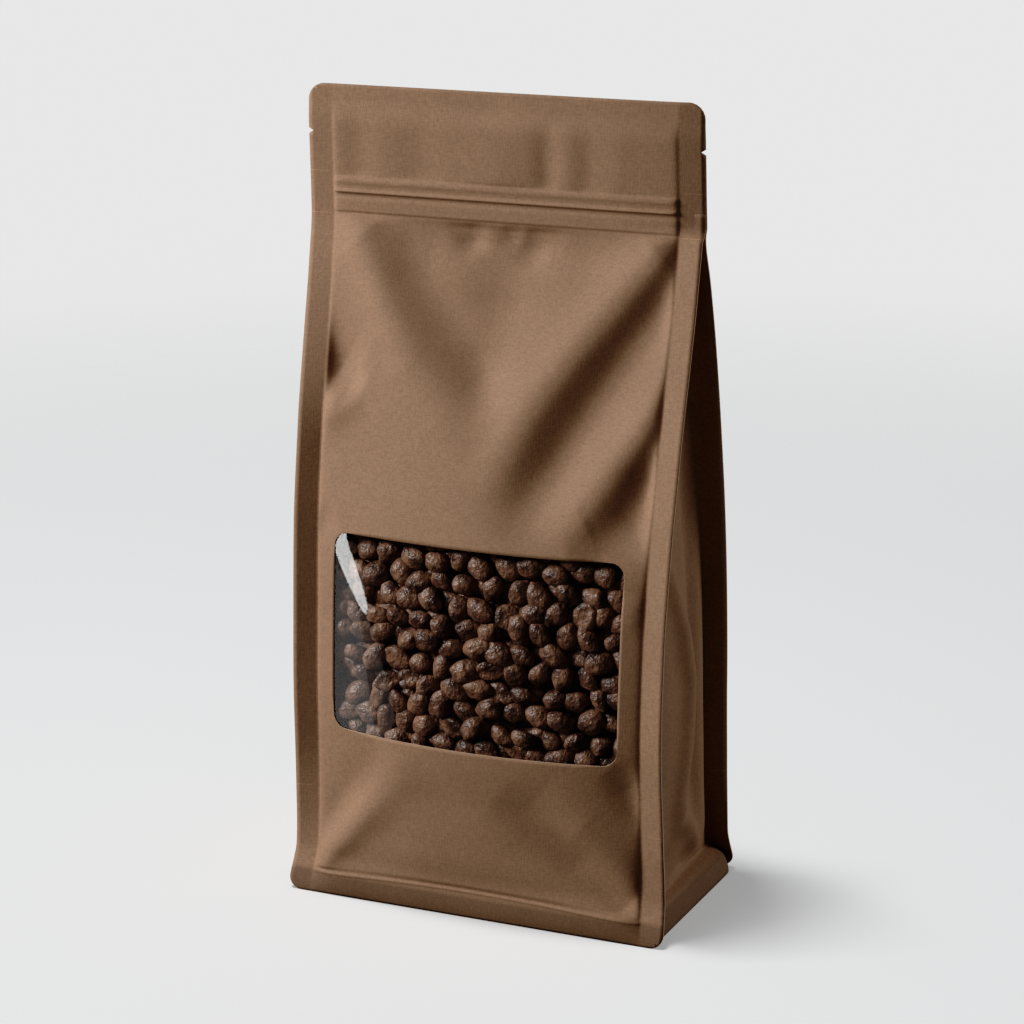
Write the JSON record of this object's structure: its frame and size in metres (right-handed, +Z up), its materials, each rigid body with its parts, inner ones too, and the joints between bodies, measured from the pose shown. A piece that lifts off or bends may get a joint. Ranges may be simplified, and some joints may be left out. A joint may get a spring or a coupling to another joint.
{
  "type": "coffee bag",
  "caption": "Shut flat-bottomed kraft paper coffee pouch with side gussets, heat-sealed edges, a press-to-close header and a clear window onto roasted beans.",
  "frame": {"origin": "middle of the foot, on the surface that the bag stands on", "axes": "+Z up the bag to its header, -Y out of the front with the window, +X to the right of the front"},
  "size_m": [0.1356, 0.0822, 0.272],
  "materials": {
    "kraft_paper": "matte brown kraft paper laminate with a fine fibre grain",
    "clear_film": "clear glossy packaging film",
    "roasted_coffee": "dark roasted coffee beans with a slight oily sheen"
  },
  "bodies": {
    "root": {"pouch": "kraft_paper", "window_film": "clear_film", "coffee_beans": "roasted_coffee"}
  },
  "joints": []
}
